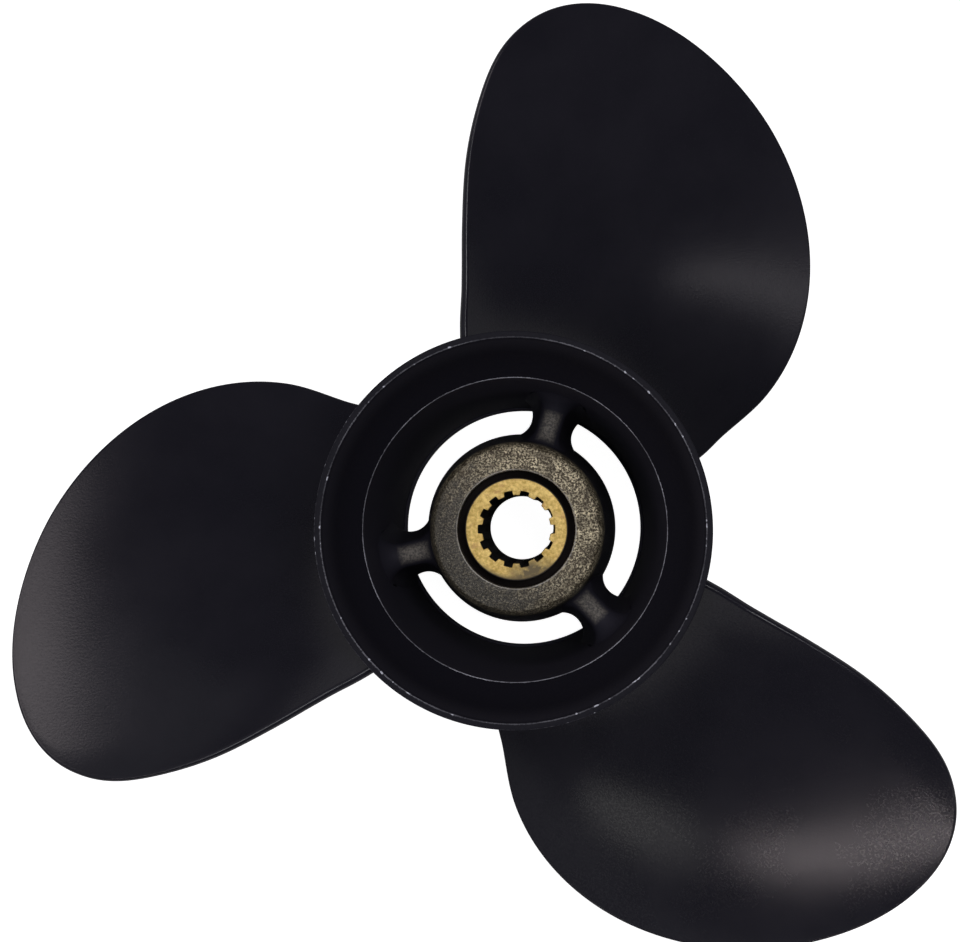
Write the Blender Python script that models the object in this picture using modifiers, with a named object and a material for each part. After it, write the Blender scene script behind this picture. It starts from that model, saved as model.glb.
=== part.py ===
"""Three-blade outboard propeller with its exhaust passing through the hub.

The shaft's axis is +Z and aft is up: the front face of the hub is at z = 0 and the flared rim is at the top.
Angles of the blades and ribs run clockwise from +Y, as they look from the aft end.
"""

import math

import bmesh
import bpy
from mathutils import Matrix

MM = 0.001
GAP = 0.3 * MM  # clearance between solids that touch each other
MERGE = 0.01 * MM

# Whole propeller
DIAMETER = 263.5 * MM
PITCH = 330 * MM
BLADE_COUNT = 3
HUB_LENGTH = 86 * MM

# Outer barrel and the flared ring at its aft end
BARREL_FRONT_RADIUS = 39.4 * MM
BARREL_AFT_RADIUS = 41.0 * MM
BARREL_EDGE = 0.8 * MM
FRONT_OPENING_RADIUS = 31.9 * MM
FRONT_LIP_LENGTH = 3.5 * MM
BORE_FRONT_RADIUS = 32.7 * MM
FLARE_LENGTH = 22 * MM
RIM_RADIUS = 46.9 * MM
RIM_WIDTH = 1.5 * MM
BOWL_DEPTH = 13 * MM
BOWL_EDGE_RADIUS = 36.6 * MM
BOWL_HOLLOW = 0.5 * MM
BARREL_SIDES = 72

# Inner boss, which carries the bush and the sleeve
BOSS_FRONT_Z = 19 * MM
BOSS_AFT_Z = 61 * MM
BOSS_FRONT_RADIUS = 25.0 * MM
BOSS_AFT_RADIUS = 21.2 * MM
BOSS_CROWN = 4.8 * MM  # width of the sloping outer part of the aft face
BOSS_CROWN_DROP = 0.7 * MM
BOSS_EDGE = 1.3 * MM
BOSS_HOLE_RADIUS = 14.5 * MM
BOSS_SHOULDER = 5 * MM
BUSH_SEAT_RADIUS = 18.2 * MM
BOSS_SIDES = 60

# Splined sleeve
SLEEVE_FRONT_Z = 16 * MM
SLEEVE_AFT_Z = 60 * MM
SLEEVE_RADIUS = 12.7 * MM
SLEEVE_EDGE = 0.6 * MM
SLEEVE_SIDES = 56
SPLINE_TEETH = 14
SPLINE_ROOT_RADIUS = 9.5 * MM
SPLINE_TIP_RADIUS = 8.4 * MM
SPLINE_LEAD_IN = 0.8 * MM
NOTCH_SHARE_AT_TIP = 0.60
NOTCH_SHARE_AT_ROOT = 0.44

# Ribs between the boss and the barrel
RIB_ANGLE = 16.9
RIB_FRONT_THICKNESS = 11.6 * MM
RIB_AFT_THICKNESS = 6.4 * MM
RIB_FRONT_Z = 20 * MM
RIB_AFT_Z = 48 * MM
RIB_ROUND_STEPS = 10

# Blades. Each station holds a radius, the angles of the trailing and leading edges, and the greatest thickness
BLADE_STATIONS = (
    (40 * MM, -15.4, 69.5, 11.0 * MM),
    (50 * MM, -13.5, 69.2, 9.6 * MM),
    (60 * MM, -11.3, 65.5, 8.6 * MM),
    (75 * MM, -9.2, 61.6, 7.2 * MM),
    (90 * MM, -7.2, 55.2, 6.0 * MM),
    (105 * MM, -4.4, 46.0, 4.9 * MM),
    (120 * MM, -0.2, 32.9, 3.7 * MM),
    (128 * MM, 4.5, 22.3, 3.0 * MM),
)
BLADE_MID_ANGLE = 28
BLADE_MID_Z = 43 * MM
BLADE_RAKE = math.tan(math.radians(2))
EDGE_THICKNESS = 2.2 * MM
FACE_HOLLOW = 0.013  # depth of the aft face's hollow, as a share of the chord
CUP_SHARE = 0.12  # share of the chord that curls aft at the trailing edge
CUP_HEIGHT = 0.8 * MM
CUP_RISE = 4  # the cup reaches its height at one over this share of the span
ROOT_FILLET = 5 * MM
CHORD_STEPS = 16
FILLET_STEPS = 3
TIP_SHARE = 0.9995  # the last section's share of the span
SPAN_STEPS = 18


def new_material(name, colour, roughness, metallic):
    material = bpy.data.materials.new(name)
    material.use_nodes = True
    shader = material.node_tree.nodes["Principled BSDF"]
    shader.inputs["Base Color"].default_value = (*colour, 1)
    shader.inputs["Roughness"].default_value = roughness
    shader.inputs["Metallic"].default_value = metallic
    material.diffuse_color = (*colour, 1)
    return material


def clear_scene():
    for obj in list(bpy.data.objects):
        bpy.data.objects.remove(obj)


def new_collection(name):
    collection = bpy.data.collections.new(name)
    bpy.context.scene.collection.children.link(collection)
    return collection


def add_object(name, mesh, collection, material=None):
    obj = bpy.data.objects.new(name, mesh)
    collection.objects.link(obj)
    if material:
        mesh.materials.append(material)
    else:
        obj.hide_render = True
        obj.display_type = "WIRE"
    return obj


def applied(obj, sharp_angle=30):
    """Makes the object's modifiers real, so that its edges can be marked sharp."""
    bpy.context.view_layer.update()
    mesh = bpy.data.meshes.new_from_object(obj.evaluated_get(bpy.context.evaluated_depsgraph_get()))
    obj.modifiers.clear()
    obj.data = mesh
    mesh.name = obj.name
    mesh.shade_smooth()
    mesh.set_sharp_from_angle(angle=math.radians(sharp_angle))
    return obj


def turned(name, profile, sides, collection, material=None, closed=True):
    """A profile of (radius, height) points turned about Z. It runs down the outer side, and either closes on itself
    or starts and ends on the axis."""
    count = len(profile)
    edges = [(i, i + 1) for i in range(count - 1)]
    if closed:
        edges.append((count - 1, 0))
    mesh = bpy.data.meshes.new(name)
    mesh.from_pydata([(radius, 0, height) for radius, height in profile], edges, [])
    obj = add_object(name, mesh, collection, material)
    screw = obj.modifiers.new("turn", "SCREW")
    screw.steps = screw.render_steps = sides
    screw.use_merge_vertices = True
    screw.merge_threshold = MERGE
    return applied(obj)


def solid_cutter(name, profile, sides, cutters):
    """A turned cutter with no hole: the profile starts and ends on the axis."""
    return turned(name, profile, sides, cutters, closed=False)


def boolean(obj, cutter, operation):
    modifier = obj.modifiers.new(cutter.name, "BOOLEAN")
    modifier.operation = operation
    modifier.object = cutter
    modifier.solver = "EXACT"


def place(angle, radius, height):
    """The point at this clockwise angle from +Y, in degrees."""
    turn = math.radians(angle)
    return (radius * math.sin(turn), radius * math.cos(turn), height)


def barrel_radius(z):
    """The barrel's outside."""
    return BARREL_FRONT_RADIUS + (BARREL_AFT_RADIUS - BARREL_FRONT_RADIUS) * z / (HUB_LENGTH - FLARE_LENGTH)


def bore_radius(z):
    """The barrel's inside, which widens from the lip at the front to the edge of the bowl."""
    share = (z - FRONT_LIP_LENGTH) / (HUB_LENGTH - BOWL_DEPTH - FRONT_LIP_LENGTH)
    return BORE_FRONT_RADIUS + (BOWL_EDGE_RADIUS - BORE_FRONT_RADIUS) * share


def flare_radius(share):
    """The outside of the flared ring, from 0 at the barrel to 1 at the rim."""
    return BARREL_AFT_RADIUS + (RIM_RADIUS - BARREL_AFT_RADIUS) * share**1.6


def hub_radius(z):
    """The outside of the whole hub."""
    share = (z - (HUB_LENGTH - FLARE_LENGTH)) / FLARE_LENGTH
    return flare_radius(min(share, 1)) if share > 0 else barrel_radius(z)


def boss_radius(z):
    return BOSS_AFT_RADIUS + (BOSS_FRONT_RADIUS - BOSS_AFT_RADIUS) * (BOSS_AFT_Z - z) / (BOSS_AFT_Z - BOSS_FRONT_Z)


def make_hub_barrel(parts, paint):
    top = HUB_LENGTH - FLARE_LENGTH
    profile = [
        (barrel_radius(top), top),
        (barrel_radius(BARREL_EDGE), BARREL_EDGE),
        (barrel_radius(0) - BARREL_EDGE, 0),
        (FRONT_OPENING_RADIUS + BARREL_EDGE, 0),
        (FRONT_OPENING_RADIUS, BARREL_EDGE),
        (FRONT_OPENING_RADIUS, FRONT_LIP_LENGTH),
        (BORE_FRONT_RADIUS, FRONT_LIP_LENGTH),
        (bore_radius(top), top),
    ]
    turned("hub_barrel", profile, BARREL_SIDES, parts, paint)


def make_flare_ring(parts, paint):
    low = HUB_LENGTH - FLARE_LENGTH + GAP
    height = HUB_LENGTH - low
    steps = 6
    outside = [(flare_radius(1 - i / steps), HUB_LENGTH - height * i / steps) for i in range(steps + 1)]
    bowl = []
    for i in range(steps + 1):
        share = i / steps
        radius = BOWL_EDGE_RADIUS + (RIM_RADIUS - RIM_WIDTH - BOWL_EDGE_RADIUS) * share
        hollow = BOWL_HOLLOW * math.sin(math.pi * share)
        bowl.append((radius + hollow, HUB_LENGTH - BOWL_DEPTH * (1 - share) - hollow))
    turned("flare_ring", outside + [(bore_radius(low), low)] + bowl, BARREL_SIDES, parts, paint)


def make_inner_boss(parts, bare):
    edge_z = BOSS_AFT_Z - BOSS_CROWN_DROP - BOSS_EDGE
    profile = [
        (BOSS_AFT_RADIUS - BOSS_CROWN, BOSS_AFT_Z),
        (BOSS_AFT_RADIUS - BOSS_EDGE, BOSS_AFT_Z - BOSS_CROWN_DROP),
        (boss_radius(edge_z), edge_z),
        (boss_radius(BOSS_FRONT_Z), BOSS_FRONT_Z),
        (BUSH_SEAT_RADIUS, BOSS_FRONT_Z),
        (BUSH_SEAT_RADIUS, BOSS_AFT_Z - BOSS_SHOULDER),
        (BOSS_HOLE_RADIUS, BOSS_AFT_Z - BOSS_SHOULDER),
        (BOSS_HOLE_RADIUS, BOSS_AFT_Z - BARREL_EDGE),
        (BOSS_HOLE_RADIUS + BARREL_EDGE, BOSS_AFT_Z),
    ]
    turned("inner_boss", profile, BOSS_SIDES, parts, bare)


def make_rubber_bush(parts, rubber):
    top = BOSS_AFT_Z - BOSS_SHOULDER - GAP
    profile = [
        (BUSH_SEAT_RADIUS - GAP, top),
        (BUSH_SEAT_RADIUS - GAP, BOSS_FRONT_Z + BARREL_EDGE),
        (SLEEVE_RADIUS + GAP, BOSS_FRONT_Z + BARREL_EDGE),
        (SLEEVE_RADIUS + GAP, top),
    ]
    turned("rubber_bush", profile, SLEEVE_SIDES, parts, rubber)


def make_spline_cutter(cutters):
    """The outline of the bore with its notches, as a prism longer than the sleeve."""
    half_pitch = math.pi / SPLINE_TEETH
    half_tip = half_pitch * NOTCH_SHARE_AT_TIP
    half_root = half_pitch * NOTCH_SHARE_AT_ROOT
    shape = bmesh.new()
    corners = []
    for notch in range(SPLINE_TEETH):
        middle = 2 * half_pitch * notch
        for turn, radius in (
            (-half_tip, SPLINE_TIP_RADIUS),
            (-half_root, SPLINE_ROOT_RADIUS),
            (half_root, SPLINE_ROOT_RADIUS),
            (half_tip, SPLINE_TIP_RADIUS),
        ):
            angle = middle + turn
            corners.append(shape.verts.new((radius * math.cos(angle), radius * math.sin(angle), 0)))
    face = shape.faces.new(corners)
    prism = bmesh.ops.extrude_face_region(shape, geom=[face])
    raised = [item for item in prism["geom"] if isinstance(item, bmesh.types.BMVert)]
    bmesh.ops.translate(shape, verts=raised, vec=(0, 0, HUB_LENGTH))
    bmesh.ops.recalc_face_normals(shape, faces=shape.faces)
    mesh = bpy.data.meshes.new("spline_cutter")
    shape.to_mesh(mesh)
    shape.free()
    return add_object("spline_cutter", mesh, cutters)


def make_splined_sleeve(parts, cutters, brass):
    """A turned blank, cut by the prism and by a cone at each end, which leads the shaft in."""
    blank = turned(
        "splined_sleeve",
        [
            (0, SLEEVE_AFT_Z),
            (SLEEVE_RADIUS - SLEEVE_EDGE, SLEEVE_AFT_Z),
            (SLEEVE_RADIUS, SLEEVE_AFT_Z - SLEEVE_EDGE),
            (SLEEVE_RADIUS, SLEEVE_FRONT_Z + SLEEVE_EDGE),
            (SLEEVE_RADIUS - SLEEVE_EDGE, SLEEVE_FRONT_Z),
            (0, SLEEVE_FRONT_Z),
        ],
        SLEEVE_SIDES,
        parts,
        brass,
        closed=False,
    )
    wide = SPLINE_ROOT_RADIUS + 2 * SPLINE_LEAD_IN
    narrow = SPLINE_TIP_RADIUS - SPLINE_LEAD_IN
    beyond = wide - SPLINE_ROOT_RADIUS
    for name, end, way in (("aft_lead_in", SLEEVE_AFT_Z, 1), ("front_lead_in", SLEEVE_FRONT_Z, -1)):
        outer = end + way * beyond
        inner = end - way * (SPLINE_ROOT_RADIUS - narrow)
        cone = [(0, outer), (wide, outer), (narrow, inner), (0, inner)]
        cutter = solid_cutter(name, cone if way > 0 else cone[::-1], SLEEVE_SIDES, cutters)
        boolean(blank, cutter, "DIFFERENCE")
    boolean(blank, make_spline_cutter(cutters), "DIFFERENCE")
    applied(blank)


def make_ribs(parts, cutters, paint):
    """Each rib is a wedge with a round aft edge, cut to the boss and to the bore."""
    bore_room = solid_cutter(
        "bore_room",
        [(0, HUB_LENGTH), (bore_radius(HUB_LENGTH) - GAP, HUB_LENGTH), (bore_radius(0) - GAP, 0), (0, 0)],
        BARREL_SIDES,
        cutters,
    )
    boss_room = solid_cutter(
        "boss_room",
        [(0, HUB_LENGTH), (boss_radius(HUB_LENGTH) + GAP, HUB_LENGTH), (boss_radius(0) + GAP, 0), (0, 0)],
        BOSS_SIDES,
        cutters,
    )
    half = RIB_AFT_THICKNESS / 2
    outline = [(-RIB_FRONT_THICKNESS / 2, RIB_FRONT_Z), (RIB_FRONT_THICKNESS / 2, RIB_FRONT_Z)]
    for i in range(RIB_ROUND_STEPS + 1):
        turn = math.pi * i / RIB_ROUND_STEPS
        outline.append((half * math.cos(turn), RIB_AFT_Z - half + half * math.sin(turn)))
    for number in range(BLADE_COUNT):
        shape = bmesh.new()
        face = shape.faces.new([shape.verts.new((x, BUSH_SEAT_RADIUS, z)) for x, z in outline])
        bar = bmesh.ops.extrude_face_region(shape, geom=[face])
        far = [item for item in bar["geom"] if isinstance(item, bmesh.types.BMVert)]
        bmesh.ops.translate(shape, verts=far, vec=(0, BARREL_FRONT_RADIUS - BUSH_SEAT_RADIUS, 0))
        bmesh.ops.recalc_face_normals(shape, faces=shape.faces)
        angle = -math.radians(RIB_ANGLE + 360 / BLADE_COUNT * number)
        bmesh.ops.rotate(shape, verts=shape.verts, matrix=Matrix.Rotation(angle, 3, "Z"))
        name = f"rib_{number + 1}"
        mesh = bpy.data.meshes.new(name)
        shape.to_mesh(mesh)
        shape.free()
        rib = add_object(name, mesh, parts, paint)
        boolean(rib, bore_room, "INTERSECT")
        boolean(rib, boss_room, "DIFFERENCE")
        applied(rib)


def station_columns():
    """For each station: radius, middle angle, fullness and thickness. Fullness times the root of the distance
    to the tip is half the angle that the blade spans there, so the blade ends in a round tip."""
    rows = []
    for radius, trailing, leading, thickness in BLADE_STATIONS:
        fullness = (leading - trailing) / 2 / math.sqrt(1 - 2 * radius / DIAMETER)
        rows.append((radius, (leading + trailing) / 2, fullness, thickness))
    return rows


def blade_value(rows, radius, column):
    """A smooth curve through the stations."""
    last = len(rows) - 1
    i = max(index for index in range(last) if index == 0 or rows[index][0] <= radius)
    low, high = rows[i], rows[i + 1]
    before, after = rows[max(i - 1, 0)], rows[min(i + 2, last)]
    span = high[0] - low[0]
    share = (radius - low[0]) / span
    start = (high[column] - before[column]) / (high[0] - before[0]) * span
    end = (after[column] - low[column]) / (after[0] - low[0]) * span
    if share > 1:
        return high[column] + (share - 1) * end
    square, cube = share**2, share**3
    return (
        (2 * cube - 3 * square + 1) * low[column]
        + (cube - 2 * square + share) * start
        + (3 * square - 2 * cube) * high[column]
        + (cube - square) * end
    )


def blade_angle(rows, radius, share):
    """The clockwise angle at this share of the chord, from 0 at the trailing edge to 1 at the leading edge."""
    half = blade_value(rows, radius, 2) * math.sqrt(max(1 - 2 * radius / DIAMETER, 0))
    return blade_value(rows, radius, 1) + half * (2 * share - 1)


def helix_height(radius, angle):
    turned_back = math.radians(BLADE_MID_ANGLE - angle)
    return BLADE_MID_Z + PITCH * turned_back / (2 * math.pi) + BLADE_RAKE * (radius - RIM_RADIUS)


def face_offsets(rows, radius, share, span, above_hub):
    """How far the aft and forward faces stand off the helical surface here."""
    chord = math.radians(blade_angle(rows, radius, 1) - blade_angle(rows, radius, 0)) * radius
    crown = 4 * share * (1 - share)
    near_hub = min(max(1 - above_hub / ROOT_FILLET, 0), 1)
    fillet = ROOT_FILLET * near_hub**2 * crown**0.5
    cup = CUP_HEIGHT * max(1 - share / CUP_SHARE, 0) ** 2 * min(span * CUP_RISE, 1)
    face = cup - FACE_HOLLOW * chord * crown
    thick = EDGE_THICKNESS + (blade_value(rows, radius, 3) - EDGE_THICKNESS) * crown
    return face + fillet, face - thick - fillet


def blade_point(rows, radius, share, offset):
    """A point offset from the helical surface, square to it, towards the aft end."""
    angle = blade_angle(rows, radius, share)
    slope = math.atan2(PITCH, 2 * math.pi * radius)
    turn = math.degrees(offset * math.sin(slope) / radius)
    return place(angle + turn, radius, helix_height(radius, angle) + offset * math.cos(slope))


def root_radius(rows, share, side):
    """The hub's radius where this side of the blade meets it."""
    offset = face_offsets(rows, BARREL_AFT_RADIUS, share, 0, 0)[side]
    return hub_radius(blade_point(rows, BARREL_AFT_RADIUS, share, offset)[2])


def blade_ring(rows, span):
    """The aft and forward faces of the section at this share of the span, from the trailing to the leading edge."""
    faces = ([], [])
    for i in range(CHORD_STEPS + 1):
        share = (1 - math.cos(math.pi * i / CHORD_STEPS)) / 2
        for side in (0, 1):
            root = root_radius(rows, share, side)
            radius = root + (DIAMETER / 2 - root) * span
            offset = face_offsets(rows, radius, share, span, radius - root)[side]
            faces[side].append(blade_point(rows, radius, share, offset))
    return faces


def rounded_ends(aft, forward):
    """The loop with a point added at each edge, which rounds it."""
    loop = []
    for start, end, inner in ((aft[-1], forward[-1], aft[-2]), (forward[0], aft[0], aft[1])):
        middle = [(a + b) / 2 for a, b in zip(start, end)]
        away = [m - i for m, i in zip(start, inner)]
        length = math.dist(start, inner)
        reach = min(EDGE_THICKNESS / 3, length / 3)
        loop.append([m + a / length * reach for m, a in zip(middle, away)])
    leading, trailing = loop
    return aft + [leading] + forward[::-1] + [trailing]


def blade_spans():
    """Shares of the span for the sections: one inside the hub, then close ones up the fillet, then the rest."""
    fillet_share = ROOT_FILLET / (DIAMETER / 2 - BARREL_AFT_RADIUS)
    spans = [fillet_share * i / FILLET_STEPS for i in range(-1, FILLET_STEPS)]
    for i in range(SPAN_STEPS + 1):
        share = i / SPAN_STEPS
        spans.append(fillet_share + (TIP_SHARE - fillet_share) * (1 - (1 - share) ** 1.6))
    return spans


def make_blades(parts, cutters, paint):
    """The sections lofted into one blade, which is cut to the hub and then repeated round the axis."""
    rows = station_columns()
    shape = bmesh.new()
    rings = []
    for span in blade_spans():
        aft, forward = blade_ring(rows, span)
        rings.append([shape.verts.new(point) for point in rounded_ends(aft, forward)])
    count = len(rings[0])
    for lower, upper in zip(rings, rings[1:]):
        for i in range(count):
            j = (i + 1) % count
            shape.faces.new((lower[i], lower[j], upper[j], upper[i]))
    for ring in (rings[0], rings[-1]):
        close_end(shape, ring)
    bmesh.ops.recalc_face_normals(shape, faces=shape.faces)
    mesh = bpy.data.meshes.new("blade_1")
    shape.to_mesh(mesh)
    shape.free()
    blade = add_object("blade_1", mesh, parts, paint)
    steps = 8
    heights = [HUB_LENGTH - FLARE_LENGTH * i / steps for i in range(steps + 1)] + [-HUB_LENGTH]
    outline = [(0, 2 * HUB_LENGTH), (RIM_RADIUS + GAP, 2 * HUB_LENGTH)]
    outline += [(hub_radius(z) + GAP, z) for z in heights]
    hub_room = solid_cutter("hub_room", outline + [(0, -HUB_LENGTH)], BARREL_SIDES, cutters)
    boolean(blade, hub_room, "DIFFERENCE")
    applied(blade)
    for number in range(1, BLADE_COUNT):
        copy = bpy.data.objects.new(f"blade_{number + 1}", blade.data)
        copy.rotation_euler.z = -2 * math.pi / BLADE_COUNT * number
        parts.objects.link(copy)


def close_end(shape, ring):
    """A strip of faces from the aft side to the forward side."""
    last = CHORD_STEPS
    aft = ring[: last + 1]
    forward = ring[last + 2 : 2 * last + 3][::-1]
    for i in range(last):
        shape.faces.new((aft[i], forward[i], forward[i + 1], aft[i + 1]))
    shape.faces.new((aft[last], forward[last], ring[last + 1]))
    shape.faces.new((forward[0], aft[0], ring[-1]))


def main():
    clear_scene()
    parts = new_collection("outboard propeller")
    cutters = new_collection("cutters")
    cutters.hide_render = True
    paint = new_material("black_paint", (0.012, 0.012, 0.015), 0.42, 0.0)
    bare = new_material("bare_casting", (0.20, 0.18, 0.15), 0.55, 0.6)
    rubber = new_material("rubber", (0.01, 0.01, 0.01), 0.75, 0.0)
    brass = new_material("brass", (0.55, 0.38, 0.15), 0.4, 0.9)
    make_hub_barrel(parts, paint)
    make_flare_ring(parts, paint)
    make_inner_boss(parts, bare)
    make_rubber_bush(parts, rubber)
    make_splined_sleeve(parts, cutters, brass)
    make_ribs(parts, cutters, paint)
    make_blades(parts, cutters, paint)


main()
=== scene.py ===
import math

import bmesh
import bpy
from mathutils import Matrix, Vector, noise


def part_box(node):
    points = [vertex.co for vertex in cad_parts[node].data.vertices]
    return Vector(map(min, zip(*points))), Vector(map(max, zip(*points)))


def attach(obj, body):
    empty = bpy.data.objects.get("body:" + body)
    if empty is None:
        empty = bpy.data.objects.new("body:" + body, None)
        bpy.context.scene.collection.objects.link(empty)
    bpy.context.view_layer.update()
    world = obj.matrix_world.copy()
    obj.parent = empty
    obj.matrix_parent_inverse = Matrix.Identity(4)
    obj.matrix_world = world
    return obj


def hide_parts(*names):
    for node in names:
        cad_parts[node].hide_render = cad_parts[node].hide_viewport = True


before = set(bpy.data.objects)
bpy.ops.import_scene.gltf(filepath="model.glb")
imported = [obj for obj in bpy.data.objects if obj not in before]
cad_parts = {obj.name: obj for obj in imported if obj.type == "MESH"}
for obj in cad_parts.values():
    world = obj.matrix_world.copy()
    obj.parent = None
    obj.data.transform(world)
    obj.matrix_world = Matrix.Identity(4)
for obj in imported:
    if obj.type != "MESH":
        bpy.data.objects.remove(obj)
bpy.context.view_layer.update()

MM = 0.001
ACROSS_AXIS = (1, 1, 0)  # keeps the part of a place that lies across the shaft's axis

# Sizes that the frame gives
HUB_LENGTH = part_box("flare_ring")[1].z
RIM_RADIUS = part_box("flare_ring")[1].x
BARREL_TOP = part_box("hub_barrel")[1].z
BARREL_AFT_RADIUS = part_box("hub_barrel")[1].x
BOSS_FRONT_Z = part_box("inner_boss")[0].z
BOSS_AFT_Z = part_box("inner_boss")[1].z
BOSS_FRONT_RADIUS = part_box("inner_boss")[1].x
BUSH_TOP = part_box("rubber_bush")[1].z
BUSH_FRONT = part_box("rubber_bush")[0].z
BUSH_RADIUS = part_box("rubber_bush")[1].x
SLEEVE_FRONT_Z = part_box("splined_sleeve")[0].z
SLEEVE_AFT_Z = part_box("splined_sleeve")[1].z
SLEEVE_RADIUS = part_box("splined_sleeve")[1].x
RIB_FRONT_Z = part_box("rib_1")[0].z
RIB_AFT_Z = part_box("rib_1")[1].z

# Hub
BARREL_FRONT_RADIUS = 39.4 * MM
FRONT_OPENING_RADIUS = 31.9 * MM
FRONT_LIP_LENGTH = 3.5 * MM
BORE_FRONT_RADIUS = 32.7 * MM
RIM_WIDTH = 1.6 * MM
BOWL_DEPTH = 13 * MM
BOWL_EDGE_RADIUS = 36.6 * MM
BOWL_HOLLOW = 0.5 * MM
FLARE_CURVE = 1.6  # above 1, the flare widens faster towards the rim
FLARE_STEPS = 12
HUB_STEPS = 288
RING_SPACING = 1.6 * MM
ROUND_STEPS = 4

# Soot and painted shade, from 0 on clean paint to 1 in the exhaust bore. In the bowl the level also darkens
# the paint as painted shade, darkest at the bowl's inner edge
DULL = 0.15  # this much makes paint dull, and more changes its colour
RIM_SOOT = 0.42
RIM_SOOT_DEPTH = 0.8 * MM  # the rim's paint is dull down to this depth
BOWL_SOOT_AND_SHADE = 0.5  # the most in the bowl, at its inner edge, where the painted shade is darkest
BOWL_SOOT_AND_SHADE_RISE = 1.2
RIB_SOOT = 0.8

# Boss, ribs and sleeve
BOSS_AFT_RADIUS = 21.4 * MM
BOSS_CROWN_DROP = 0.9 * MM
BOSS_HOLE_RADIUS = 14.5 * MM
BOSS_SHOULDER = 5 * MM
CROWN_INSET = 0.9 * MM  # the domed part of the aft face starts this far outside the hole
CROWN_MARGINS = 1.6 * MM  # and leaves this much of the face at its two sides together
CROWN_CURVE = 1.4
CROWN_STEPS = 8
BUSH_SEAT_RADIUS = 18.2 * MM
CAST_LUMPS = 0.10 * MM
RIB_ANGLE = 16.9
RIB_FRONT_THICKNESS = 11.6 * MM
RIB_AFT_THICKNESS = 6.4 * MM
RIB_BOSS_FILLET = 3.5 * MM
RIB_WALL_FILLET = 5.5 * MM
RIB_SIDE_SHARE = 0.35  # of a rib's outline, for each side
RIB_ROUND_SHARE = 0.3  # and for the round aft end
RIB_CORNER_FADE = 12
RIB_CORNER_INSET = 1.2 * MM
RIB_STEPS = (108, 96)  # round a rib and along it
RIB_WEAR_SHEEN_HALF = 2.6 * MM  # half the width of the stripe on the rib's ridge, worn paint that is also a painted highlight
RIB_WEAR_SHEEN_BLUR = 1.5 * MM
RIB_WEAR_SHEEN_START = 0.6 * MM
RIB_WEAR_SHEEN_END = 0.68  # how far along the rib the stripe reaches, from the boss to the wall
BUSH_OVERLAP = 0.1 * MM  # the rubber is bonded to the sleeve, so no light comes between them
SPLINE_TEETH = 14
SPLINE_ROOT_RADIUS = 9.5 * MM
SPLINE_TIP_RADIUS = 8.4 * MM
SPLINE_MOUTH_SHARE = 0.59
SPLINE_FLOOR_SHARE = 0.49
SPLINE_PLAIN_LENGTH = 4 * MM  # the bore's front end is round
STEPS_PER_TOOTH = 32

# Blades. Each station holds a radius, the clockwise angles in degrees of the trailing and leading edges,
# and the thickness
DIAMETER = 262.9 * MM
PITCH = 330 * MM
BLADE_COUNT = 3
BLADE_STATIONS = (
    (40 * MM, -15.4, 69.5, 11.0 * MM),
    (50 * MM, -13.5, 69.2, 9.6 * MM),
    (60 * MM, -11.3, 65.5, 8.6 * MM),
    (75 * MM, -9.2, 61.6, 7.2 * MM),
    (90 * MM, -7.2, 55.2, 6.0 * MM),
    (105 * MM, -4.4, 46.0, 4.9 * MM),
    (120 * MM, -0.2, 32.9, 3.7 * MM),
    (128 * MM, 4.6, 22.3, 3.0 * MM),
)
BLADE_MID_ANGLE = 28
BLADE_MID_Z = 43 * MM
BLADE_RAKE = math.tan(math.radians(2))
EDGE_THICKNESS = 2.2 * MM
EDGE_RADIUS = 0.6 * MM
FACE_HOLLOW = 0.013  # how hollow the aft face is, as a share of the blade's width
CUP_SHARE = 0.12  # the cup takes this share of the width, at the trailing edge
CUP_HEIGHT = 0.8 * MM
CUP_RISE = 4  # it grows over the first quarter of the blade's length
CUP_FADE = 3  # and fades over the last third
ROOT_FILLET = 6 * MM
EDGE_FILLET = 1.5 * MM  # the root's fillet round the blade's edges
ROOT_SINK = 0.4 * MM  # how far a piece's last row lies under the skin that it grows from
SKIN = 0.03 * MM
CHORD_STEPS = 64
SPAN_STEPS = 104
MERGE_DISTANCE = 0.002 * MM

# Camera, floor and light. The camera looks down the shaft's axis from the aft end, slightly off it
LENS = 78.8
CAMERA_TIP = -1.06  # degrees about X
CAMERA_TURN = -2.99  # degrees about Y
CAMERA_SHIFT = Vector((7.62, -13.88, -492.22)) * MM  # where the rim's centre lies, seen by the camera
FLOOR_SIZE = 6
FLOOR_GLOW = 0.98  # keeps the floor pale under the propeller, and lights nothing else

# Colours
PAINT_DARK = (0.0140, 0.0134, 0.0200)
PAINT_LIGHT = (0.0185, 0.0176, 0.0250)
PAINT_DUST = (0.023, 0.022, 0.030)
DULL_COLOUR = (0.0225, 0.0215, 0.0300)
# Painted shade: the bowl's paint is darker, most at its inner edge
BOWL_SOOT_AND_SHADE_COLOUR = (0.0090, 0.0086, 0.0138)
BORE_COLOUR = (0.040, 0.038, 0.053)
# The ribs' ridge stripe: worn paint, made lighter still as a painted highlight
RUBBED_SHEEN_COLOUR = (0.225, 0.205, 0.178)
WORN_COLOUR = (0.185, 0.185, 0.21)
BARE_EDGE_COLOUR = (0.68, 0.69, 0.78)
METAL_DARK = (0.070, 0.054, 0.034)
METAL_MID = (0.29, 0.240, 0.155)
# Bright specks on the boss: partly the metal's grain, partly painted glints
METAL_GLINT = (0.95, 0.84, 0.58)
# Painted shade on the boss's lower-left side, drawn as a dull darker film
PAINTED_SHADE_DARK = (0.022, 0.019, 0.014)
PAINTED_SHADE_LIGHT = (0.098, 0.085, 0.063)
EDGE_BRIGHT = (0.75, 0.72, 0.66)
BRASS_DARK = (0.52, 0.345, 0.086)
BRASS_BRIGHT = (0.86, 0.63, 0.215)
BRASS_RED = (0.50, 0.28, 0.11)
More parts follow.
